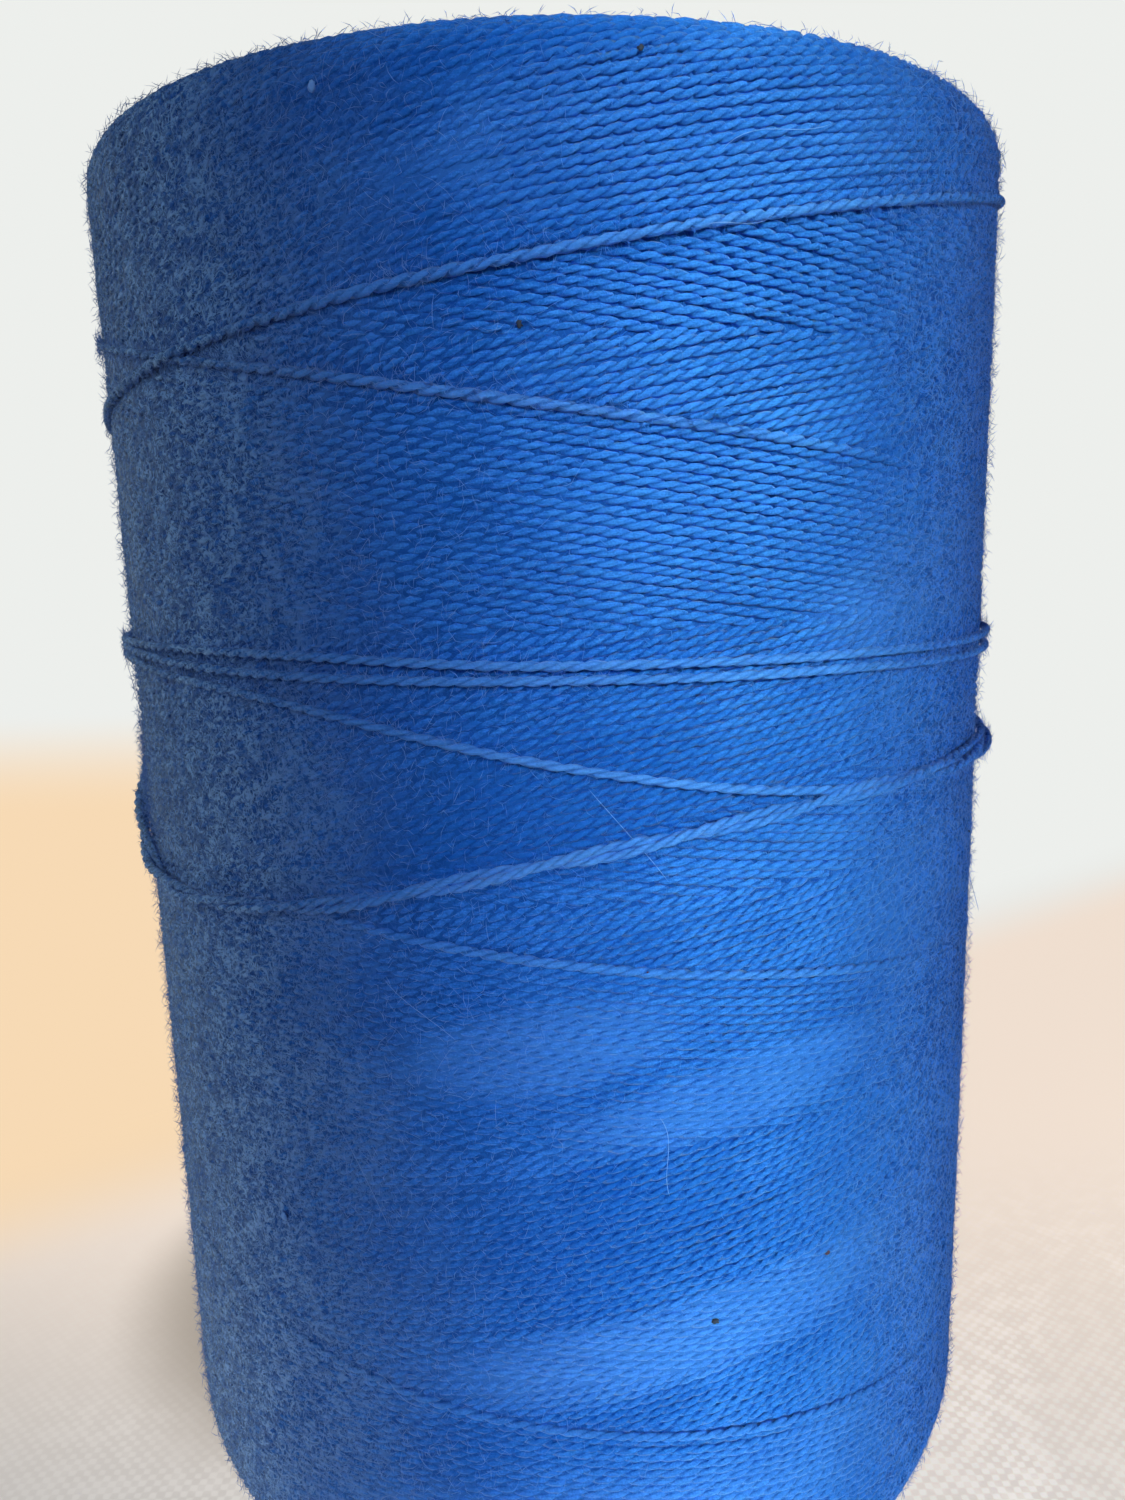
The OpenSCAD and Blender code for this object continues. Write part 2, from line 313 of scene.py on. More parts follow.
# -------------------------------------------------------- Inner layers of thread
# The mass of thread that the outer turns lie on, wound on the tube layer by layer. It shows only
# between the strands that cover it, coloured darker than the thread as painted shade. Where the
# winding has been handled and rubbed, loose fibres have felted together and fill the furrows almost
# to the top.
FACE_R = 38.0
TOP_Z = 124.75
BOTTOM_Z = 2.25
TOP_SHOULDER = 4.0
BOTTOM_SHOULDER = 12.0
TUBE_R = 18.5
TUBE_CLEARANCE = 0.05
AXIS_DEPTH = 0.33
TOP_LINE = TOP_Z - TOP_SHOULDER
BOTTOM_LINE = BOTTOM_Z + BOTTOM_SHOULDER
TOP_ARC = (TOP_SHOULDER - AXIS_DEPTH) * math.pi / 2
BOTTOM_ARC = (BOTTOM_SHOULDER - AXIS_DEPTH) * math.pi / 2
CORE_DEPTH = 0.47
CORE_STEPS = 200
WORN_TURN = math.radians(-88)
WORN_FILL = 0.36
RUBBED_FILL = 0.24
PATCHY_FILL = 0.10
PATCHY_SCALE = 260
OTHER_SIDE_WEAR = 0.9
PATCH_SLOPE = 0.10
RUBBED_OUT_TO = 1.15
SHADED_OUT_TO = 1.4
BOTTOM_POINTS = 17
SIDE_POINTS = 76
TOP_POINTS = 9
# Turn in degrees and height of each rubbed patch, half its reach both ways, and how much
RUBBED = (
    (16, 35.6, 36, 3.9, 0.95), (20, 54.5, 22, 3.0, 1), (-3, 59.0, 16, 3.6, 1),
    (48, 90.0, 22, 4.5, 1), (52, 66.0, 20, 7.0, 1), (14, 118.5, 32, 5.5, 0.5),
    (64, 112.0, 22, 7.0, 0.6), (-6, 17.0, 60, 7.0, 0.8), (60, 36.0, 20, 14.0, 0.9),
    (120, 47.0, 30, 6.0, 1), (168, 95.0, 30, 4.0, 1), (205, 26.0, 34, 4.5, 1),
)
# Turn in degrees and height of each place where the strands are painted paler (more than nought)
# or darker, as light and shade on strands that lie steeper or flatter, half its reach both ways, and how
# much
SHADES = (
    (-4, 113.0, 16, 4.0, -0.45), (-10, 121.0, 24, 3.5, -0.35), (9, 106.0, 12, 4.5, 0.25),
    (14, 96.5, 13, 8.0, 0.35), (-2, 76.0, 22, 5.0, -0.60), (4, 43.0, 16, 7.0, -0.55),
    (34, 123.0, 20, 2.0, -0.50), (2, 29.5, 14, 3.0, -0.30), (14, 35.6, 26, 4.0, 0.25),
    (25, 71.0, 12, 4.0, 0.25), (-6, 107.5, 8, 4.0, -0.25), (-24, 102.0, 14, 7.0, 0.45),
    (43, 105.0, 12, 7.0, -0.50), (42, 58.0, 14, 8.0, -0.30), (110, 80.0, 30, 7.0, -0.35),
    (150, 55.0, 26, 6.0, 0.35), (200, 100.0, 30, 7.0, -0.35), (235, 66.0, 24, 8.0, 0.30),
)


def on_face(turn, along, lift):
    """Points on the winding's face, in metres: turn is the angle from the front, along the distance
    up the face and round its shoulders, and lift the distance that the point stands off the face."""
    top = np.clip((along - TOP_LINE) / TOP_ARC, 0, 1) * math.pi / 2
    low = np.clip((BOTTOM_LINE - along) / BOTTOM_ARC, 0, 1) * math.pi / 2
    inward = np.maximum(along - TOP_LINE - TOP_ARC, 0) + np.maximum(BOTTOM_LINE - along - BOTTOM_ARC, 0)
    shoulder = np.where(low > 0, BOTTOM_SHOULDER, TOP_SHOULDER)
    lean = top + low
    r = FACE_R - shoulder + (shoulder + lift) * np.cos(lean) - inward
    z = np.clip(along, BOTTOM_LINE, TOP_LINE) + (shoulder + lift) * (np.sin(top) - np.sin(low))
    return MM * np.stack([r * np.sin(turn), -r * np.cos(turn), z], axis=-1)


def ease(x):
    x = np.clip(x, 0, 1)
    return x * x * (3 - 2 * x)


def worn_share(turn):
    """One on the side that has been handled most and is fuzziest, less on the other side, and
    nought in front and behind."""
    most = ease(0.5 + 1.1 * np.cos(turn - WORN_TURN))
    return np.maximum(most, OTHER_SIDE_WEAR * ease(2 * np.cos(turn + WORN_TURN) - 0.6))


def patch_distance(turn, height, centre, centre_height, half_turn, half_height):
    """Distance from the middle of a slanting oval patch, which is one at its edge."""
    aside = (np.degrees(turn) - centre + 180) % 360 - 180
    climb = (height - centre_height - PATCH_SLOPE * aside) / half_height
    return np.hypot(aside / half_turn, climb)


def rubbed_share(turn, height):
    """How much the patches there have been rubbed smooth and pale."""
    share = 0 * turn
    for *patch, much in RUBBED:
        share = np.maximum(share, much * ease(2.0 * (RUBBED_OUT_TO - patch_distance(turn, height, *patch))))
    return share


def shade_at(turn, height):
    """How much paler, or darker below nought, the strands are painted there as light and shade."""
    shade = 0 * turn
    for *patch, much in SHADES:
        shade = shade + much * ease(SHADED_OUT_TO - patch_distance(turn, height, *patch))
    return shade


def ride_as_thread(piece, *nodes):
    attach(piece, "root")
    if nodes:
        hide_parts(*nodes)


face_line = np.concatenate([
    np.linspace(BOTTOM_LINE - BOTTOM_ARC, BOTTOM_LINE, BOTTOM_POINTS),
    np.linspace(BOTTOM_LINE, TOP_LINE, SIDE_POINTS)[1:],
    np.linspace(TOP_LINE, TOP_LINE + TOP_ARC, TOP_POINTS)[1:],
])
section = on_face(np.zeros_like(face_line), face_line, -CORE_DEPTH)
core_bm = bmesh.new()
inner_r = (TUBE_R + TUBE_CLEARANCE) * MM
ring = [core_bm.verts.new((0, -inner_r, section[0, 2]))]
ring += [core_bm.verts.new(point) for point in section]
ring += [core_bm.verts.new((0, -inner_r, section[-1, 2]))]
edges = [core_bm.edges.new((ring[i], ring[(i + 1) % len(ring)])) for i in range(len(ring))]
bmesh.ops.spin(
    core_bm, geom=ring + edges, cent=(0, 0, 0), axis=(0, 0, 1), angle=2 * math.pi, steps=CORE_STEPS,
    use_merge=True
)
bmesh.ops.remove_doubles(core_bm, verts=core_bm.verts, dist=1e-7)
bmesh.ops.recalc_face_normals(core_bm, faces=core_bm.faces)
core_bm.normal_update()
for vert in core_bm.verts:
    if vert.co.to_2d().length > (TUBE_R + 1) * MM:
        turn = math.atan2(vert.co.x, -vert.co.y)
        patchy = noise.noise(vert.co * PATCHY_SCALE) * PATCHY_FILL
        worn_fill = (WORN_FILL + patchy) * worn_share(turn)
        fill = max(worn_fill, RUBBED_FILL * rubbed_share(turn, vert.co.z / MM))
        vert.co += vert.normal * float(fill) * MM
core_mesh = bpy.data.meshes.new("inner_layers")
core_bm.to_mesh(core_mesh)
core_bm.free()
for polygon in core_mesh.polygons:
    polygon.use_smooth = True
rubbed = np.ones((len(core_mesh.vertices), 4))
for vert in core_mesh.vertices:
    turn = np.array(math.atan2(vert.co.x, -vert.co.y))
    rubbed[vert.index, 3] = rubbed_share(turn, vert.co.z / MM)
core_mesh.attributes.new("strand", "FLOAT_COLOR", "POINT").data.foreach_set("color", rubbed.ravel())
inner_layers = bpy.data.objects.new("inner_layers", core_mesh)
scene.collection.objects.link(inner_layers)

FELT = (0.054, 0.145, 0.450, 1)
DEEP_FELT = (0.008, 0.060, 0.330, 1)
FADED_FELT_AND_SHEEN = (0.270, 0.330, 0.380, 1)
MAT_FIBRE = (0.350, 0.570, 0.990, 1)
DEEP_MAT_FIBRE = (0.085, 0.290, 0.880, 1)
RUBBED_PALE = (0.050, 0.210, 0.720, 1)
PIT_SHADE = (0.006, 0.036, 0.200, 1)
FIBRE_BLUE = (0.028, 0.180, 0.700, 1)
FIBRE_GREY = (0.260, 0.420, 0.840, 1)
FELT_SHARE = 0.72
HANDLED_FELT_SHARE = 0.18
# Where each sort of wear starts and is full, across the tube from the left or up it, in metres
WORN_LEFT = (0.000, -0.021)
WORN_RIGHT = (0.020, 0.037)
WORN_FOOT = (0.030, 0.008)
# The greying at the far left is partly wear and partly painted sheen
FADED_AND_SHEEN_LEFT = (-0.022, -0.037)
FRESH_RIGHT = (-0.002, 0.012)
FELT_SCALE = 1300.0
PIT_SQUASH = (1700, 1700, 3600)
# How fine each web of fibres is, and how wide its lines
SINGLE_FIBRES = ((700.0, 0.035), (1300.0, 0.035))
MATTED_FIBRES = ((600.0, 0.034), (920.0, 0.046), (1400.0, 0.062))
PACKED_DARKEST_SHADE = (0.007, 0.066, 0.33, 1)
PACKED_LIGHTEST_SHADE = (0.013, 0.100, 0.45, 1)
ROW_SQUASH = (250, 250, 1500)
PACKED_RELIEF = 0.00012
COTTON_SHEEN = {
    "Sheen Weight": 0.20,
    "Sheen Roughness": 0.35,
    "Sheen Tint": (0.85, 0.90, 0.95, 1),
    "Specular IOR Level": 0.06,
}


def cloudy(start, place, scale, detail=3.0):
    return start.node("ShaderNodeTexNoise", None, {"Vector": place, "Scale": scale, "Detail": detail})


def fibre_web(start, place, scale, thin):
    """Thin crooked lines, as loose fibres make on the thread."""
    lines = start.node(
        "ShaderNodeTexNoise", None, {"Vector": place, "Scale": scale, "Detail": 2.0, "Distortion": 1.2}
    )
    return (lines - 0.5).math("ABSOLUTE", lines - 0.5).band(thin, thin * 0.3)


def worn_side(start, place):
    """One on the side that has been handled most and is fuzziest, less on the other side and at
    the foot, and nought in front."""
    axes = start.node("ShaderNodeSeparateXYZ", None, {0: place})
    across = Tone(start.tree, axes.socket.node.outputs["X"])
    up = Tone(start.tree, axes.socket.node.outputs["Z"])
    across = across + 0.012 * cloudy(start, place, 60.0, 2.0)
    side = across.band(*WORN_LEFT)
    side = side.math("MAXIMUM", side, across.band(*WORN_RIGHT, 0.0, 0.90))
    return side.math("MAXIMUM", side, up.band(*WORN_FOOT, 0.0, 0.20))


def felt_share(start, worn, handled):
    """Worn places and, less, handled ones carry felt."""
    return start.math("MAXIMUM", worn, HANDLED_FELT_SHARE * handled)


def felted(start, place, base, worn):
    """Colour of thread under the loose fibres that lie on it: patches of felt, greyest on the most
    worn side, where the grey is partly painted sheen, and bluest on the other, with hollows between
    them painted darker as shade, and a web of single fibres."""
    axes = start.node("ShaderNodeSeparateXYZ", None, {0: place})
    across = Tone(start.tree, axes.socket.node.outputs["X"])
    # Greyer felt out on the left: partly faded by wear and partly painted sheen of the fuzz at that rim
    faded_and_sheen = across.band(*FADED_AND_SHEEN_LEFT)
    fresh = across.band(*FRESH_RIGHT)
    felt = fresh.blend(faded_and_sheen.blend(FELT, FADED_FELT_AND_SHEEN), DEEP_FELT)
    mat_fibre = fresh.blend(MAT_FIBRE, DEEP_MAT_FIBRE)
    pressed = start.node("ShaderNodeMapping", None, {"Vector": place, "Scale": PIT_SQUASH})
    cover = worn * cloudy(start, place, FELT_SCALE, 3.0).band(0.36, 0.60, 0.45, 1.0)
    base = (FELT_SHARE * cover).blend(base, felt)
    # Painted shade in small hollows of the felt
    pit_shade = worn * cloudy(start, pressed, 1.0, 2.0).band(0.46, 0.34, 0.0, 0.7)
    base = pit_shade.blend(base, PIT_SHADE)
    coarse, finer = [fibre_web(start, place, scale, thin) for scale, thin in SINGLE_FIBRES]
    web = 0.35 * coarse.math("MAXIMUM", coarse, finer)
    for scale, thin in MATTED_FIBRES:
        broken = cloudy(start, place, scale * 0.8, 2.0).band(0.46, 0.52, 0.08, 1.0)
        mat = broken * fibre_web(start, place, scale, thin)
        web = web.math("MAXIMUM", web, 0.95 * worn * mat)
    return web.blend(base, worn.blend(FIBRE_BLUE, mat_fibre)), web


packed, start = new_material("packed_thread")
place = start.node("ShaderNodeTexCoord", output=3)
flat = start.node("ShaderNodeMapping", None, {"Vector": place, "Scale": ROW_SQUASH})
rows = cloudy(start, flat, 1.0)
# Painted shade: the packed thread is coloured darker than the thread that covers it
packed_shade = rows.band(0.3, 0.7).blend(PACKED_DARKEST_SHADE, PACKED_LIGHTEST_SHADE)
rubbed = start.node("ShaderNodeAttribute", {"attribute_name": "strand"}, output=3)
packed_base = (0.8 * rubbed).blend(packed_shade, RUBBED_PALE)
fluff, web = felted(start, place, packed_base, felt_share(start, worn_side(start, place), rubbed))
height = rows + web
bump = start.node("ShaderNodeBump", None, {"Height": height, "Strength": 0.7, "Distance": PACKED_RELIEF})
surface = {
    "Base Color": fluff,
    "Roughness": rows.band(0.2, 0.8, 0.8, 0.95),
    "Normal": bump,
    **COTTON_SHEEN,
}
finish_surface(start, start.node("ShaderNodeBsdfPrincipled", None, surface))
core_mesh.materials.append(packed)
ride_as_thread(inner_layers, "thread_core")

# -------------------------------------------------------- Outer turns of thread
# One royal blue cotton thread of two plies, wound up and down the tube in crossing strokes. Every
# strand lies over the older strands of the other slope and dives under the newer ones.
LEAD = 36.67
RISE = LEAD / (2 * math.pi)
CROSS_TURN = math.radians(-43.4)
CROSS_Z = 106.45
AGES = 55
ROW_PITCH = LEAD / AGES
LAY = 2.8
RINGS_TO_A_LAY = 4.5
PLY_TIP = (0.37, 0)
PLY_TOP = (0.20, 0.255)
PLY_WAIST = (0, 0.185)
PLY_SECTION = [
    PLY_TIP, (PLY_TOP[0], -PLY_TOP[1]), (0, -PLY_WAIST[1]), (-PLY_TOP[0], -PLY_TOP[1]),
    (-PLY_TIP[0], 0), (-PLY_TOP[0], PLY_TOP[1]), PLY_WAIST, PLY_TOP,
]
# How each corner of the section is painted: nought for the shade between the plies, one for the crests,
# which take the painted highlight
CROWN = (1.0, 0.85, 0.0, 0.85, 1.0, 0.85, 0.0, 0.85)
CROSSING = ROW_PITCH / (2 * RISE) * FACE_R
DIVE = 0.62
START_TUCK = 1.0
END_TUCK = 2.0
HEIGHT_BANDS = 5
HALF_STROKES = 8
LEAST_SHOWN = 3
LEAST_POINTS = 14
TAPER_POINTS = 3
WORN_SWELL = 0.10
EDGE_OVERLAP = 0.4
EDGE_LOW = BOTTOM_LINE - BOTTOM_ARC - EDGE_OVERLAP
EDGE_TOP = TOP_LINE + TOP_ARC + EDGE_OVERLAP
EDGE_TUCK = 0.6
# Longest wave and size of each way that a strand wanders, in millimetres, along its course
ROW_WANDER = (60, 0.045)
DEPTH_WANDER = (40, 0.025)
TWIST_WANDER = (90, 0.7)
THICKNESS_WANDER = (25, 0.05)
TINT_WANDER = (60, 0.05)
ROW_SPREAD = 0.025
DEPTH_SPREAD = 0.012
THICKNESS_SPREAD = 0.03
TINT_SPREAD = 0.05
RUBBED_TO_HANDLED = 0.50
UV_MARGIN = 0.06
UV_WIDTH = 0.88
WELD = 1e-8
random = np.random.default_rng(20)


def section_outline(name, points):
    """Closed cross section in millimetres for threads to be drawn with."""
    outline = bpy.data.curves.new(name, "CURVE")
    outline.dimensions = "2D"
    spline = outline.splines.new("POLY")
    spline.points.add(len(points) - 1)
    for point, (x, y) in zip(spline.points, points):
        point.co = (x * MM, y * MM, 0, 1)
    spline.use_cyclic_u = True
    return bpy.data.objects.new(name, outline)


def pack_strips(lengths):
    """Row and place in the row for strips laid side by side, longest first, and the row's length."""
    widest = max(lengths)
    order = np.argsort(-np.asarray(lengths), kind="stable")
    places = np.zeros((len(lengths), 2))
    first, last, row = 0, len(order) - 1, 0
    while first <= last:
        places[order[first]] = (row, 0)
        used = lengths[order[first]]
        first += 1
        while first <= last and used + lengths[order[last]] <= widest:
            places[order[last]] = (row, used)
            used += lengths[order[last]]
            last -= 1
        row += 1
    return places, widest, row


def draw_strands(name, outline, crown, strands, material, *nodes):
    """One closed piece from strands of thread. A strand is its points in metres, its twist, its
    thickness, its tint and how much it has been handled along the way; its ends taper to a point."""
    sides = len(crown)
    curve = bpy.data.curves.new(name, "CURVE")
    curve.dimensions = "3D"
    curve.twist_mode = "Z_UP"
    curve.bevel_mode = "OBJECT"
    curve.bevel_object = outline
    for points, twist, thickness, tint, handled in strands:
        spline = curve.splines.new("POLY")
        spline.points.add(len(points) - 1)
        spline.points.foreach_set("co", np.c_[points, np.ones(len(points))].ravel())
        spline.points.foreach_set("tilt", twist)
        spline.points.foreach_set("radius", thickness)
        spline.use_smooth = True
    maker = bpy.data.objects.new(name + "_maker", curve)
    scene.collection.objects.link(maker)
    mesh = bpy.data.meshes.new_from_object(maker.evaluated_get(bpy.context.evaluated_depsgraph_get()))
    mesh.name = name
    bpy.data.objects.remove(maker)
    bpy.data.curves.remove(curve)

    tints = np.concatenate([strand[3] for strand in strands])
    shade = np.ones((len(tints) * sides, 4))
    shade[:, 0] = np.repeat(tints, sides)
    shade[:, 1] = np.tile(crown, len(tints))
    shade[:, 3] = np.repeat(np.concatenate([strand[4] for strand in strands]), sides)
    mesh.attributes.new("strand", "FLOAT_COLOR", "POINT").data.foreach_set("color", shade.ravel())

    lengths = [np.linalg.norm(np.diff(strand[0], axis=0), axis=1).sum() for strand in strands]
    places, widest, row_count = pack_strips(lengths)
    corners = [(len(strand[0]) - 1) * sides * 4 for strand in strands]
    flat = np.zeros(len(mesh.loops) * 2)
    mesh.uv_layers[0].data.foreach_get("uv", flat)
    flat = flat.reshape(-1, 2)
    owner = np.repeat(np.arange(len(strands)), corners)
    flat[:, 0] = (places[owner, 1] + np.clip(flat[:, 0], 0, 1) * np.asarray(lengths)[owner]) / widest
    flat[:, 1] = (places[owner, 0] + UV_MARGIN + UV_WIDTH * flat[:, 1]) / row_count
    mesh.uv_layers[0].data.foreach_set("uv", flat.ravel())
    mesh.uv_layers[0].name = "OFBake"

    joined = bmesh.new()
    joined.from_mesh(mesh)
    bmesh.ops.remove_doubles(joined, verts=joined.verts, dist=WELD)
    joined.to_mesh(mesh)
    joined.free()
    mesh.materials.append(material)
    piece = bpy.data.objects.new(name, mesh)
    scene.collection.objects.link(piece)
    ride_as_thread(piece, *nodes)


def wander(x, longest, size):
    """Smooth random course along x, in waves of about the longest length and shorter."""
    phases = random.uniform(0, 2 * math.pi, 3)
    parts = [np.sin(x * (2 * math.pi * k / longest) + phase) / k for k, phase in zip((1, 2.3, 4.1), phases)]
    return size * sum(parts) / 1.3


def strand_along(turns, along, lift, thickness, tint, handled):
    """A strand on the winding's face, twisted to the left as the two plies are, and swollen by
    loose fibres on the worn side."""
    points = on_face(turns, along, lift)
    run = np.concatenate([[0], np.cumsum(np.linalg.norm(np.diff(points, axis=0), axis=1))]) / MM
    twist = -2 * math.pi * (run + turns[0] * FACE_R + wander(run, *TWIST_WANDER)) / LAY
    fat = thickness * (1 + wander(run, *THICKNESS_WANDER)) * (1 + WORN_SWELL * worn_share(turns))
    fat[:TAPER_POINTS] *= np.linspace(0, 1, TAPER_POINTS)
    fat[-TAPER_POINTS:] *= np.linspace(1, 0, TAPER_POINTS)
    handled = np.maximum(handled, RUBBED_TO_HANDLED * rubbed_share(turns, along))
    # The tint holds the strand's random tone and the painted light and shade of SHADES
    tints = np.clip(tint + wander(run, *TINT_WANDER) + shade_at(turns, along), 0, 1)
    return points, twist, fat, tints, handled


def kept_in(along, tuck):
    """One over the winding's face, falling to nought in the last of it above and below."""
    return ease((EDGE_TOP - along) / tuck) * ease((along - EDGE_LOW) / tuck)


step = LAY / RINGS_TO_A_LAY / (FACE_R * math.hypot(1, RISE / FACE_R))
ply_pair = section_outline("ply_pair", PLY_SECTION)
families = {"rising": 1, "falling": -1}
bands = {(family, band): [] for family in families for band in range(HEIGHT_BANDS)}
for family, slope in families.items():
    for age in range(1, AGES):
        behind = age * ROW_PITCH
        shown = (1 - age / AGES) * math.pi
        if shown * FACE_R < LEAST_SHOWN:
            continue
        tint = random.normal(0.5, TINT_SPREAD)
        offset = random.normal(0, ROW_SPREAD)
        for half in range(-HALF_STROKES, HALF_STROKES + 1):
            begin = CROSS_TURN - (behind + half * LEAD) / (2 * RISE)
            end = begin + shown
            low_turn = begin - START_TUCK / FACE_R
            high_turn = end + END_TUCK / FACE_R
            count = int((high_turn - low_turn) / step) + 2
            turns = np.linspace(low_turn, high_turn, count)
            along = CROSS_Z + slope * (behind + RISE * (turns - CROSS_TURN))
            along = along + offset + wander(turns * FACE_R, *ROW_WANDER)
            inside = (along > EDGE_LOW) & (along < EDGE_TOP)
            if inside.sum() < LEAST_POINTS:
                continue
            turns = turns[inside]
            along = along[inside]
            after = (turns - begin) * FACE_R
            before = (end - turns) * FACE_R + (CROSSING if slope < 0 else 0)
            dip = 2 - ease(after / CROSSING) - ease(before / CROSSING)
            lift = -AXIS_DEPTH - DIVE * np.maximum(np.minimum(dip, 1), 1 - kept_in(along, EDGE_TUCK))
            lift = lift + wander(turns * FACE_R, *DEPTH_WANDER) + random.normal(0, DEPTH_SPREAD)
            strand = strand_along(turns, along, lift, random.normal(1.0, THICKNESS_SPREAD), tint, 0)
            height = (along.mean() - BOTTOM_Z) / (TOP_Z - BOTTOM_Z)
            band = int(np.clip(height * HEIGHT_BANDS, 0, HEIGHT_BANDS - 1))
            bands[family, band].append(strand)

# Dyed cotton: painted shade between the plies and a painted highlight on their crests, streaked
# along the strand, paler and duller where it has been handled, and under loose fibres on the worn side
THREAD_GROOVE_SHADE = (0.004, 0.060, 0.350, 1)
THREAD_BLUE = (0.010, 0.118, 0.545, 1)
THREAD_PALE_AND_HIGHLIGHT = (0.054, 0.268, 0.870, 1)
HANDLED_GROOVE_SHADE = (0.012, 0.090, 0.420, 1)
HANDLED_BLUE = (0.050, 0.215, 0.720, 1)
HANDLED_PALE_AND_HIGHLIGHT = (0.110, 0.330, 0.930, 1)
STREAK_SQUASH = (1700, 1700, 9000)
FINE_SCALE = 7000.0
MOTTLE_SCALE = 160.0
BROAD_SCALE = 45.0
COTTON_RELIEF = 0.00005
royal_cotton, start = new_material("royal_cotton")
place = start.node("ShaderNodeTexCoord", output=3)
strand = start.node("ShaderNodeAttribute", {"attribute_name": "strand"})
parts = start.node("ShaderNodeSeparateColor", None, {0: strand})
tint = Tone(start.tree, parts.socket.node.outputs[0])
crown = Tone(start.tree, parts.socket.node.outputs[1])
handled = Tone(start.tree, strand.socket.node.outputs["Alpha"])
flat = start.node("ShaderNodeMapping", None, {"Vector": place, "Scale": STREAK_SQUASH})
streak = cloudy(start, flat, 1.0, 2.0)
fine = cloudy(start, place, FINE_SCALE, 2.0)
mottle = cloudy(start, place, MOTTLE_SCALE)
broad = cloudy(start, place, BROAD_SCALE, 2.0)
# Painted shade in the grooves between the plies, where the crown is nought, and a painted highlight on the
# crests, where it is one
body = crown.band(0.0, 0.85).blend(THREAD_GROOVE_SHADE, THREAD_BLUE)
dull = crown.band(0.0, 0.85).blend(HANDLED_GROOVE_SHADE, HANDLED_BLUE)
# The tint brings random tone and the painted light and shade of SHADES
light = 0.75 * tint + 0.20 * mottle.band(0.3, 0.7) + 0.20 * broad.band(0.35, 0.65)
light = light + 0.40 * streak.band(0.34, 0.66) + 0.35 * fine.band(0.34, 0.66)
light = light.band(0.50, 1.50) * crown.band(-0.3, 1.0)
base = handled.blend(light.blend(body, THREAD_PALE_AND_HIGHLIGHT), light.blend(dull, HANDLED_PALE_AND_HIGHLIGHT))
base, web = felted(start, place, base, felt_share(start, worn_side(start, place), handled))
height = streak + 0.6 * fine + 1.5 * web
bump = start.node("ShaderNodeBump", None, {"Height": height, "Strength": 0.7, "Distance": COTTON_RELIEF})
surface = {
    "Base Color": base,
    "Roughness": fine.band(0.2, 0.8, 0.72, 0.92),
    "Normal": bump,
    **COTTON_SHEEN,
}
finish_surface(start, start.node("ShaderNodeBsdfPrincipled", None, surface))
for (family, band), strands in bands.items():
    draw_strands(f"{family}_turns_{band + 1}", ply_pair, CROWN, strands, royal_cotton, "outer_turns")

# -------------------------------------------------------- Newest turns
# The last stroke up and the last stroke down lie on top of all the others. The last lengths of
# both stand out as single raised strands, the upward one over the downward one.
NEWEST_RAISED = 0.46
OVER_CROSSING = 0.30
CROSSING_REACH = 5.0
UPWARD_FROM = 97.0
UPWARD_RISE = 4
FULLY_HANDLED = 0.36
NEWEST_LIFT = 0.04
NEWEST_TUCK = 0.8
NEWEST_THICKNESS = 1.03
NEWEST_TINT = 0.55
NEWEST_WANDER = (70, 0.08)
NEWEST_DEPTH_WANDER = (30, 0.03)
# Turn in degrees where the downward stroke starts to rise, is up, starts to sink and is down again,
# and how high it then lies
DOWNWARD_RAISED = (
    (-118, -100, 5, 45, 0.36), (322, 345, 400, 425, 0.22), (655, 675, 770, 790, 0.15),
)
newest = []
for slope in (1, -1):
    reach = np.array([EDGE_LOW, EDGE_TOP])
    ends = CROSS_TURN + slope * (reach - CROSS_Z) / RISE
    count = int((ends.max() - ends.min()) / step) + 2
    turns = np.linspace(ends.min(), ends.max(), count)
    along = CROSS_Z + slope * RISE * (turns - CROSS_TURN)
    along = along + wander(turns * FACE_R, *NEWEST_WANDER)
    if slope > 0:
        nearest = (turns - CROSS_TURN) / math.pi
        off = np.abs(nearest - np.round(nearest)) * math.pi * FACE_R
        raised = NEWEST_RAISED + OVER_CROSSING * ease(1 - off / CROSSING_REACH)
        raised = raised * ease((along - UPWARD_FROM) / UPWARD_RISE)
    else:
        raised = 0 * turns
        turn_deg = np.degrees(turns)
        for rises, up, sinks, down, much in DOWNWARD_RAISED:
            come_up = ease((turn_deg - rises) / (up - rises))
            raised += much * come_up * ease((down - turn_deg) / (down - sinks))
    handled = np.clip(raised / FULLY_HANDLED, 0, 1)
    raised = raised + NEWEST_LIFT
    lift = -AXIS_DEPTH + raised - (DIVE + raised) * (1 - kept_in(along, NEWEST_TUCK))
    lift = lift + wander(turns * FACE_R, *NEWEST_DEPTH_WANDER)
    newest.append(strand_along(turns, along, lift, NEWEST_THICKNESS, NEWEST_TINT, handled))
draw_strands("newest_turns", ply_pair, CROWN, newest, royal_cotton, "outer_turns")

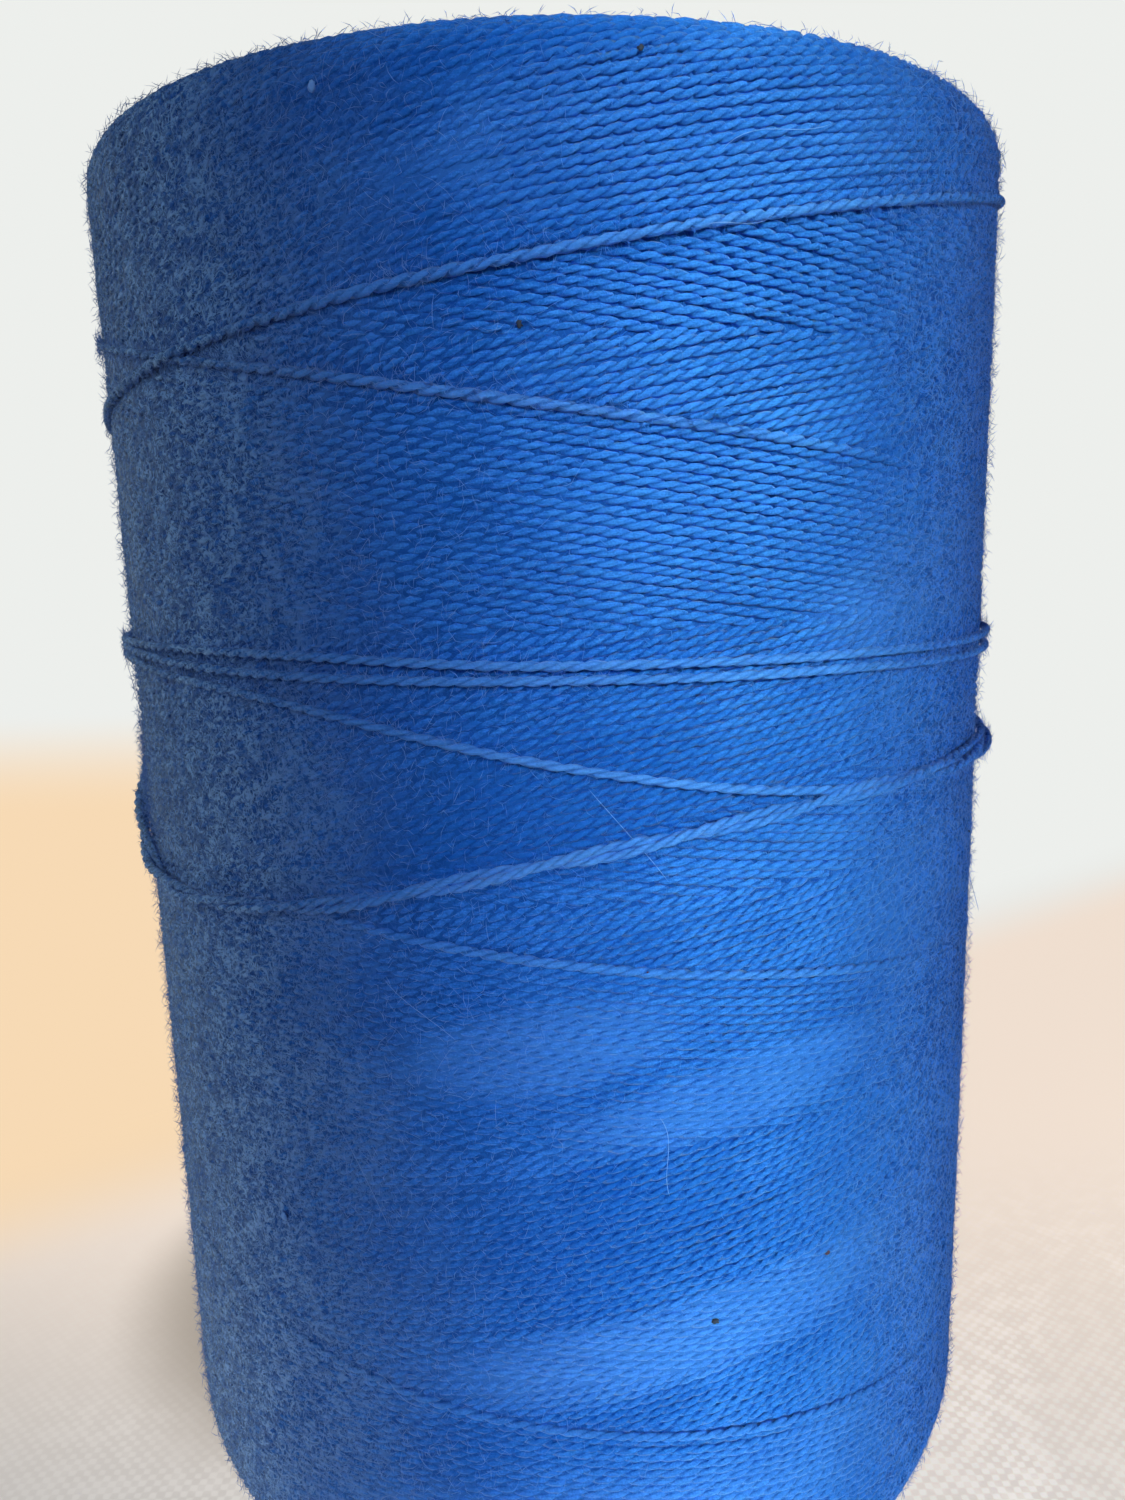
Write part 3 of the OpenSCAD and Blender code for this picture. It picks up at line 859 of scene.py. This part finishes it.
# -------------------------------------------------------- End faces of the winding
# At each end the strokes turn back in short arcs that lie side by side round the tube, from the
# shoulder in to the bare paper.
ARC_DEG = (55, 120)
ARC_OVERLAP = 0.06
ARC_BOW = 0.30
ARC_TUCK = 0.55
ARC_TUCK_LENGTH = 2.5
FIRST_ARC_IN = 0.2
ARC_TINT = 0.48
for name, top in (("top_face_turns", True), ("bottom_face_turns", False)):
    arcs = []
    first_r = FACE_R - (TOP_SHOULDER if top else BOTTOM_SHOULDER)
    rows = int((first_r - TUBE_R - AXIS_DEPTH) / ROW_PITCH)
    for row in range(rows + 1):
        inward = row * ROW_PITCH + FIRST_ARC_IN
        at = random.uniform(0, 2 * math.pi)
        stop = at + 2 * math.pi
        r = first_r - inward
        while at < stop:
            arc = math.radians(random.uniform(*ARC_DEG))
            finish = min(at + arc, stop + 2 * ARC_OVERLAP)
            spacing = LAY / 4 / r
            count = int((finish - at + 2 * ARC_OVERLAP) / spacing) + 8
            turns = np.linspace(at - ARC_OVERLAP, finish + ARC_OVERLAP, count)
            edge = (TOP_LINE + TOP_ARC + inward) if top else (BOTTOM_LINE - BOTTOM_ARC - inward)
            bow = ARC_BOW * np.cos(np.linspace(-math.pi / 2, math.pi / 2, count)) - ARC_BOW / 2
            along = edge + (bow if top else -bow)
            reach = (turns - turns[0]) * r
            ends = ease(reach / ARC_TUCK_LENGTH) * ease((reach[-1] - reach) / ARC_TUCK_LENGTH)
            lift = -AXIS_DEPTH - ARC_TUCK * (1 - ends) + random.normal(0, 0.05)
            tint = random.normal(ARC_TINT, TINT_SPREAD)
            arcs.append(strand_along(turns, along, lift, 1.0, tint, 0))
            at = finish
    draw_strands(name, ply_pair, CROWN, arcs, royal_cotton, "thread_core")

# -------------------------------------------------------- Loose end
# The free end of the same thread, slack out of the last downward stroke at the right and wrapped
# five times round the outside by hand. The two lowest wraps are twisted together. Its two plies are
# twisted to the left, and its tip springs up.
SLACK_TURN = math.radians(90)
ROUTE_STEP_DEG = 30
# Heights of each wrap, from the left round the front to the back
FIRST_WRAP = (85.1, 86.0, 86.5, 85.9, 85.3, 84.6, 84.0)
SECOND_WRAP = (84.7, 85.3, 85.1, 84.95, 84.3, 83.4, 82.7)
THIRD_WRAP = (83.9, 84.4, 83.3, 79.3, 75.9, 75.9, 75.5)
TWINED_WRAP = (74.8, 67.3, 68.7, 73.0, 75.5, 75.2, 74.8)
LAST_PLACES = (73.5,)
BACK_HEIGHT = 80.0
ROUTES = (FIRST_WRAP, SECOND_WRAP, THIRD_WRAP, TWINED_WRAP, TWINED_WRAP, LAST_PLACES)
LOOSE_LIFT = 0.50
LOOSE_START_DEPTH = 0.9
CLIMB_LENGTH = 7
SPRING_LENGTH = 5
SPRING_LIFT = 1.0
# At the left the twined wraps bulge: how they lie there, how full they are, where and how far round
SLACK_LIFT = -0.14
SLACK_SWELL = 0.45
SLACK_PLACE = math.radians(15)
SLACK_ARC = math.radians(42)
BACK_PLACE_DEG = 25
FIRST_TWINED = 3
TWINE_R = 0.30
TWISTS_TO_A_WRAP = 12.5
LEFT_DEG = 270
PLY_R = 0.215
PLY_OFFSET = 0.142
# For each corner of a ply's round section: nought for the side painted as shade between the two plies, one
# for the far side
PLY_CROWN = (1.0, 0.8, 0.25, 0.0, 0.25, 0.8)
TWINED_FROM = 2.75
TWINED_WITHIN = 0.15
LOOSE_TINT = 0.6
LOOSE_STEP_SHARE = 0.68
LOOSE_DEPTH_WANDER = (50, 0.06)
LOOSE_ROW_WANDER = (80, 0.08)
COIL_WANDER = (60, 0.5)
PLY_WANDER = (20, 0.08)
LOOSE_TINT_WANDER = (40, 0.10)

knot_turns = [SLACK_TURN]
knot_heights = [CROSS_Z - RISE * (SLACK_TURN - CROSS_TURN)]
for wrap, route in enumerate(ROUTES):
    if wrap >= FIRST_TWINED:
        knot_turns.append(math.radians(LEFT_DEG + wrap * 360 - BACK_PLACE_DEG))
        knot_heights.append(BACK_HEIGHT)
    for stop, height in enumerate(route):
        knot_turns.append(math.radians(LEFT_DEG + wrap * 360 + stop * ROUTE_STEP_DEG))
        knot_heights.append(height)
knot_turns = np.array(knot_turns)
knot_heights = np.array(knot_heights)
knot_slopes = np.zeros(len(knot_turns))
knot_slopes[1:-1] = (knot_heights[2:] - knot_heights[:-2]) / (knot_turns[2:] - knot_turns[:-2])
knot_slopes[0] = -RISE
knot_slopes[1] = 0


def route_height(turn):
    """Height of the loose end: a smooth line through the places of its route."""
    k = np.clip(np.searchsorted(knot_turns, turn, side="right") - 1, 0, len(knot_turns) - 2)
    span = knot_turns[k + 1] - knot_turns[k]
    t = (turn - knot_turns[k]) / span
    held = (2 * t**3 - 3 * t**2 + 1) * knot_heights[k] + (3 * t**2 - 2 * t**3) * knot_heights[k + 1]
    return held + span * ((t**3 - 2 * t**2 + t) * knot_slopes[k] + (t**3 - t**2) * knot_slopes[k + 1])


loose_step = step * LOOSE_STEP_SHARE
loose_count = int((knot_turns[-1] - knot_turns[0]) / loose_step)
loose_turns = np.linspace(knot_turns[0], knot_turns[-1], loose_count)
heights = route_height(loose_turns)
wraps_done = (loose_turns - math.radians(LEFT_DEG)) / (2 * math.pi)
left_gap = np.abs((wraps_done - np.round(wraps_done)) * 2 * math.pi - SLACK_PLACE)
bulge = np.cos(np.clip(left_gap / SLACK_ARC, 0, 1) * math.pi / 2) ** 2
slack = np.where(np.round(wraps_done) >= FIRST_TWINED, bulge, 0)
twined = ease((wraps_done - TWINED_FROM) / TWINED_WITHIN)
twine = 2 * math.pi * wraps_done * TWISTS_TO_A_WRAP
run = (loose_turns - loose_turns[0]) * FACE_R
lift = LOOSE_LIFT + SLACK_LIFT * slack + wander(run, *LOOSE_DEPTH_WANDER)
lift = lift - (LOOSE_LIFT + LOOSE_START_DEPTH) * (1 - ease(run / CLIMB_LENGTH))
lift = lift + twined * TWINE_R * (1 + np.cos(twine))
heights = heights + twined * TWINE_R * np.sin(twine) + wander(run, *LOOSE_ROW_WANDER)
lift = lift + SPRING_LIFT * ease((run - run[-1] + SPRING_LENGTH) / SPRING_LENGTH)
axis_line = on_face(loose_turns, heights, lift)
ahead = np.gradient(axis_line, axis=0)
ahead /= np.linalg.norm(ahead, axis=1)[:, None]
outward = np.stack([np.sin(loose_turns), -np.cos(loose_turns), 0 * loose_turns], axis=-1)
outward -= (outward * ahead).sum(1)[:, None] * ahead
outward /= np.linalg.norm(outward, axis=1)[:, None]
sideways = np.cross(ahead, outward)
length = np.concatenate([[0], np.cumsum(np.linalg.norm(np.diff(axis_line, axis=0), axis=1))]) / MM
coil = -2 * math.pi * (length + wander(length, *COIL_WANDER)) / LAY
plies = []
for side in (0, math.pi):
    swing = np.cos(coil + side)[:, None] * outward + np.sin(coil + side)[:, None] * sideways
    points = axis_line + MM * PLY_OFFSET * swing
    fat = (1 + wander(length, *PLY_WANDER)) * (1 + SLACK_SWELL * slack)
    fat[:3] *= (0, 0.5, 0.9)
    fat[-3:] *= (0.9, 0.6, 0)
    tints = np.clip(LOOSE_TINT + wander(length, *LOOSE_TINT_WANDER), 0, 1)
    plies.append((points, coil + side, fat, tints, np.ones_like(tints)))
ply_round = section_outline("ply_round", [
    (PLY_R * math.cos(k * math.pi / 3), PLY_R * math.sin(k * math.pi / 3)) for k in range(6)
])
draw_strands("loose_end", ply_round, PLY_CROWN, plies, royal_cotton, "tail_wraps")

# -------------------------------------------------------- Fuzz
# Loose cotton fibres that stand out of the spun thread: most lie over the winding in a web, some
# stand up from it and make its outline soft, and a few long ones stray.
HAIRS = {3: 56000, 4: 3000}
NEWEST_HAIRS = 2500
LOOSE_END_HAIRS = 5500
SLACK_HAIRS = 1400
HAIR_LENGTHS = {3: (0.7, 1.9), 4: (1.7, 3.6)}
HAIR_SHAPES = {3: (0, 1, 0), 4: (0, 1, 0.8, 0)}
HAIR_R = 0.021
LEAST_FUZZ = 0.12
STANDING_SHARE = 0.50
STANDING_PEAKS = (0.2, 0.9)
GREYEST = 0.80
SLACK_HAIR_TURN = (math.radians(-74), 0.20)
SLACK_HAIR_HEIGHTS = (66, 78)
FUZZ_PIECES = 4
hair_outline = section_outline("fibre", [
    (HAIR_R * math.cos(k * math.tau / 3), HAIR_R * math.sin(k * math.tau / 3)) for k in range(3)
])


def hairs_from(turn, along, lift, places, standing, peaks):
    """Fibres that start at places on the winding and run off in crooked lines."""
    count = len(turn)
    t = np.linspace(0, 1, places)
    stands = random.random((count, 1)) < standing
    stride = random.uniform(*HAIR_LENGTHS[places], (count, 1)) / (places - 1) * np.where(stands, 0.7, 1)
    way = random.uniform(0, 2 * math.pi, (count, 1)) + random.normal(0, 1.3, (count, 1)) * t[:-1]
    start_point = np.zeros((count, 1))
    east = np.hstack([start_point, np.cumsum(np.cos(way), axis=1)]) * stride
    north = np.hstack([start_point, np.cumsum(np.sin(way), axis=1)]) * stride
    peak = np.where(stands, random.uniform(*peaks, (count, 1)), random.uniform(0.06, 0.36, (count, 1)))
    rise = peak * np.where(stands, t ** 0.7, np.sin(t * math.pi * 0.8)) - 0.08
    points = on_face(turn[:, None] + east / FACE_R, along[:, None] + north, lift[:, None] + rise)
    fat = np.array(HAIR_SHAPES[places]) * random.uniform(0.7, 1.15, (count, 1)) * np.where(stands, 1.2, 0.95)
    # Fibres greyer on the worn side, partly from wear and partly as painted sheen of fuzz lit from behind
    greyness_and_sheen = GREYEST * worn_share(turn) ** 2 + random.normal(0, 0.12, count)
    greyness_and_sheen = np.clip(greyness_and_sheen, 0, 1)
    return [
        (points[k], 0 * t, fat[k], np.full(places, greyness_and_sheen[k]), np.zeros(places)) for k in range(count)
    ]


hairs = []
for places, wanted in HAIRS.items():
    turn = random.uniform(-math.pi, math.pi, wanted * 4)
    share = LEAST_FUZZ + (1 - LEAST_FUZZ) * worn_share(turn)
    turn = turn[random.random(len(turn)) < share][:wanted]
    along = random.uniform(BOTTOM_LINE - BOTTOM_ARC * 0.9, TOP_LINE + TOP_ARC + 1.5, len(turn))
    hairs += hairs_from(turn, along, 0 * turn, places, STANDING_SHARE, STANDING_PEAKS)
picked = random.integers(30, loose_count - 30, LOOSE_END_HAIRS)
hairs += hairs_from(loose_turns[picked], heights[picked], lift[picked] + 0.1, 3, 0.6, (0.1, 0.7))
turn = random.normal(*SLACK_HAIR_TURN, SLACK_HAIRS)
along = random.uniform(*SLACK_HAIR_HEIGHTS, SLACK_HAIRS)
hairs += hairs_from(turn, along, 0 * turn, 3, 0.6, STANDING_PEAKS)
for slope, spread in ((1, (-115, 60)), (-1, (-115, 20))):
    turn = np.radians(random.uniform(*spread, NEWEST_HAIRS // 2))
    along = CROSS_Z + slope * RISE * (turn - CROSS_TURN) + random.normal(0, 0.15, len(turn))
    hairs += hairs_from(turn, along, 0 * turn + 0.3, 3, 0.5, (0.1, 0.6))

# Turn in degrees, height, slope of the way up in degrees and length of each stray
STRAYS = ((-31, 27.6, 262, 9.5), (40, 121.5, 25, 9.0), (-39, 112.5, 250, 4.0))
STRAY_RANGES = ((-180, 180), (12, 122), (0, 360), (4, 9))
MORE_STRAYS = 22
STRAY_POINTS = 14
STRAY_THICKNESS = 1.15
strays = list(STRAYS)
for k in range(MORE_STRAYS):
    strays.append([random.uniform(*ends) for ends in STRAY_RANGES])
for turn_deg, height, way_deg, length in strays:
    t = np.linspace(0, 1, STRAY_POINTS)
    way = math.radians(way_deg) + random.normal(0, 0.5) * np.sin(t * 3) + random.normal(0, 0.3) * t
    east = np.concatenate([[0], np.cumsum(np.cos(way[:-1]))]) * length / (STRAY_POINTS - 1)
    north = np.concatenate([[0], np.cumsum(np.sin(way[:-1]))]) * length / (STRAY_POINTS - 1)
    rise = random.uniform(0.5, 1.3) * t ** 1.3 + 0.12
    points = on_face(math.radians(turn_deg) + east / FACE_R, height + north, rise)
    fat = np.concatenate([[0], np.full(STRAY_POINTS - 2, STRAY_THICKNESS), [0]])
    hairs.append((points, 0 * t, fat, np.full(STRAY_POINTS, GREYEST), 0 * t))

fuzz_fibre, start = new_material("loose_fibre")
strand = start.node("ShaderNodeAttribute", {"attribute_name": "strand"})
tint = start.node("ShaderNodeSeparateColor", None, {0: strand})
fibre_base = tint.blend(FIBRE_BLUE, FIBRE_GREY)
surface = {"Base Color": fibre_base, "Roughness": tint.band(0, 1, 0.6, 0.8), "Specular IOR Level": 0.15}
finish_surface(start, start.node("ShaderNodeBsdfPrincipled", None, surface))
for part in range(FUZZ_PIECES):
    draw_strands(f"fuzz_{part + 1}", hair_outline, (1.0,) * 3, hairs[part::FUZZ_PIECES], fuzz_fibre)

# -------------------------------------------------------- Specks and neps
# Cotton is never quite clean: specks of leaf and seed coat caught in the thread, and neps, which
# are small pale knots of fibre. They are pressed into the surface of the winding.
# Turn in degrees, height, size and kind of each
SPECKS = (
    (-2.6, 106.7, 0.24, "leaf"), (15.6, 36.8, 0.30, "leaf"), (8.9, 121.8, 0.22, "leaf"),
    (30.4, 39.5, 0.20, "seed_coat"), (8.5, 64.5, 0.22, "seed_coat"),
    (-21.2, 120.9, 0.34, "nep"), (-35.8, 42.7, 0.36, "nep"), (-39.0, 60.0, 0.26, "nep"),
)
SPECK_COLOURS = {
    "leaf": ((0.010, 0.014, 0.035, 1), (0.022, 0.030, 0.060, 1)),
    "seed_coat": ((0.060, 0.012, 0.030, 1), (0.120, 0.030, 0.050, 1)),
    "nep": ((0.120, 0.300, 0.800, 1), (0.220, 0.420, 0.900, 1)),
}
MORE_SPECKS = 26
SPECK_RANGES = ((50, 290), (8, 122), (0.12, 0.26))
SPECK_SHARES = (0.4, 0.2, 0.4)
SPECK_LIFT = 0.08
speck_kinds = list(SPECK_COLOURS)
specks = list(SPECKS)
for k in range(MORE_SPECKS):
    turn_deg, height, size = [random.uniform(*ends) for ends in SPECK_RANGES]
    specks.append((turn_deg, height, size, speck_kinds[random.choice(3, p=SPECK_SHARES)]))
speck_bm = bmesh.new()
for turn_deg, height, size, kind in specks:
    spot = Vector(on_face(np.array(math.radians(turn_deg)), np.array(height), np.array(SPECK_LIFT)))
    spin = Matrix.Rotation(math.radians(turn_deg), 4, "Z") @ Matrix.Rotation(random.uniform(0, 3.1), 4, "Y")
    stretch = Matrix.Diagonal((size * MM, 0.45 * size * MM, 0.75 * size * MM, 1))
    made = bmesh.ops.create_icosphere(
        speck_bm, subdivisions=2, radius=1, matrix=Matrix.Translation(spot) @ spin @ stretch
    )
    for vert in made["verts"]:
        vert.co += (vert.co - spot) * noise.noise(vert.co * 9000) * 0.7
    for face in {face for vert in made["verts"] for face in vert.link_faces}:
        face.material_index = speck_kinds.index(kind)
        face.smooth = True
speck_mesh = bpy.data.meshes.new("specks")
speck_bm.to_mesh(speck_mesh)
speck_bm.free()
for kind, colours in SPECK_COLOURS.items():
    speck_material, start = new_material(kind)
    place = start.node("ShaderNodeTexCoord", output=3)
    grain = cloudy(start, place, 5000.0, 2.0)
    base = grain.band(0.3, 0.7).blend(*colours)
    surface = {"Base Color": base, "Roughness": grain.band(0.3, 0.7, 0.7, 0.9)}
    finish_surface(start, start.node("ShaderNodeBsdfPrincipled", None, surface))
    speck_mesh.materials.append(speck_material)
piece = bpy.data.objects.new("specks", speck_mesh)
scene.collection.objects.link(piece)
ride_as_thread(piece)
